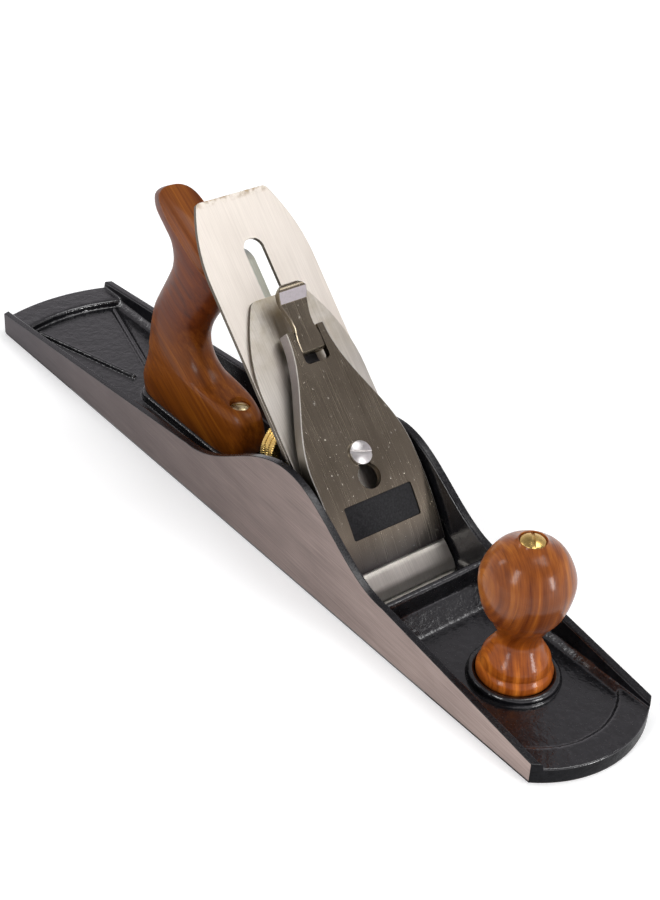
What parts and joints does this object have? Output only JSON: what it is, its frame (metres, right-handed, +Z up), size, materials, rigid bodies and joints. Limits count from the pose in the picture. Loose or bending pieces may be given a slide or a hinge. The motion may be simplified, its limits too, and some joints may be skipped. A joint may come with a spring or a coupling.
{
  "type": "hand plane",
  "caption": "Long bench plane: cast body with rounded ends and humped cheeks, bedded iron under a cam-locked lever cap, adjustable frog, round turned knob and open tote.",
  "frame": {"origin": "on the sole, at the middle of its length and width", "axes": "+X from heel to toe, +Y to the left seen from behind, +Z up from the sole"},
  "size_m": [0.457, 0.072, 0.1485],
  "materials": {
    "casting": "black enamel inside, ground sides and sole",
    "frog_enamel": "black enamel",
    "steel": "satin",
    "brass": "polished",
    "yoke_iron": "plain",
    "lever_steel": "satin",
    "blade_steel": "satin with golden tarnish",
    "cap_steel": "satin",
    "nickel": "polished nickel",
    "screw_nickel": "polished",
    "spring_steel": "blued",
    "knob_wood": "glossy varnish",
    "tote_wood": "glossy varnish",
    "pale_brass": "satin"
  },
  "bodies": {
    "casting": {"body_casting": "casting", "front_knob": "knob_wood", "knob_rod": "steel", "knob_nut": "brass", "tote": "tote_wood", "tote_rod": "steel", "tote_nut": "brass", "tote_toe_screw": "pale_brass", "frog_screws": "steel", "frog_washers": "steel"},
    "frog": {"frog": "frog_enamel", "frog_adjust_clip": "steel", "frog_clip_screw": "steel", "depth_stud": "steel", "yoke_pin": "steel", "lateral_pivot": "steel", "lever_cap_screw": "screw_nickel"},
    "adjust_screw": {"frog_adjust_screw": "steel"},
    "yoke": {"adjusting_yoke": "yoke_iron"},
    "wheel": {"depth_wheel": "brass"},
    "lateral": {"lateral_lever": "lever_steel", "lateral_roller": "steel"},
    "iron": {"cutting_iron": "blade_steel", "cap_iron": "cap_steel", "cap_iron_screw": "steel"},
    "lever_cap": {"lever_cap": "nickel", "cam_pin": "steel", "lever_cap_spring": "spring_steel", "spring_rivet": "steel"},
    "cam": {"cam_lever": "nickel"}
  },
  "joints": [
    {"name": "frog_slide", "type": "slide", "parent": "casting", "child": "frog", "axis": [1, 0, 0], "range_m": [-0.0012, 0.0012]},
    {"name": "frog_screw_turn", "type": "hinge", "parent": "frog", "child": "adjust_screw", "pos_m": [0.03, 0, 0.011], "axis": [1, 0, 0], "range_deg": [-433, 433]},
    {"name": "depth_wheel_turn", "type": "hinge", "parent": "yoke", "child": "wheel", "pos_m": [0.0085, 0, 0.035], "axis": [1, 0, 0], "range_deg": [-360, 360]},
    {"name": "yoke_tilt", "type": "hinge", "parent": "frog", "child": "yoke", "pos_m": [0.0085, 0, 0.059], "axis": [0, 1, 0], "range_deg": [-2.6, 2.6]},
    {"name": "iron_depth", "type": "slide", "parent": "frog", "child": "iron", "axis": [-0.7071, 0, 0.7071], "range_m": [-0.00093, 0.00093]},
    {"name": "lateral_swing", "type": "hinge", "parent": "frog", "child": "lateral", "pos_m": [0.02246, 0, 0.07354], "axis": [0.7071, 0, 0.7071], "range_deg": [-8, 8]},
    {"name": "lever_cap_release", "type": "slide", "parent": "frog", "child": "lever_cap", "axis": [-0.7071, 0, 0.7071], "range_m": [0, 0.0115]},
    {"name": "cam_swing", "type": "hinge", "parent": "lever_cap", "child": "cam", "pos_m": [0.01157, 0, 0.09659], "axis": [0, 1, 0], "range_deg": [0, 95]}
  ],
  "couplings": [
    {"joint": "frog_screw_turn", "follows": "frog_slide", "rad_per_m": 6283.2},
    {"joint": "depth_wheel_turn", "follows": "iron_depth", "rad_per_m": -6723.1},
    {"joint": "yoke_tilt", "follows": "iron_depth", "rad_per_m": -47.17}
  ]
}
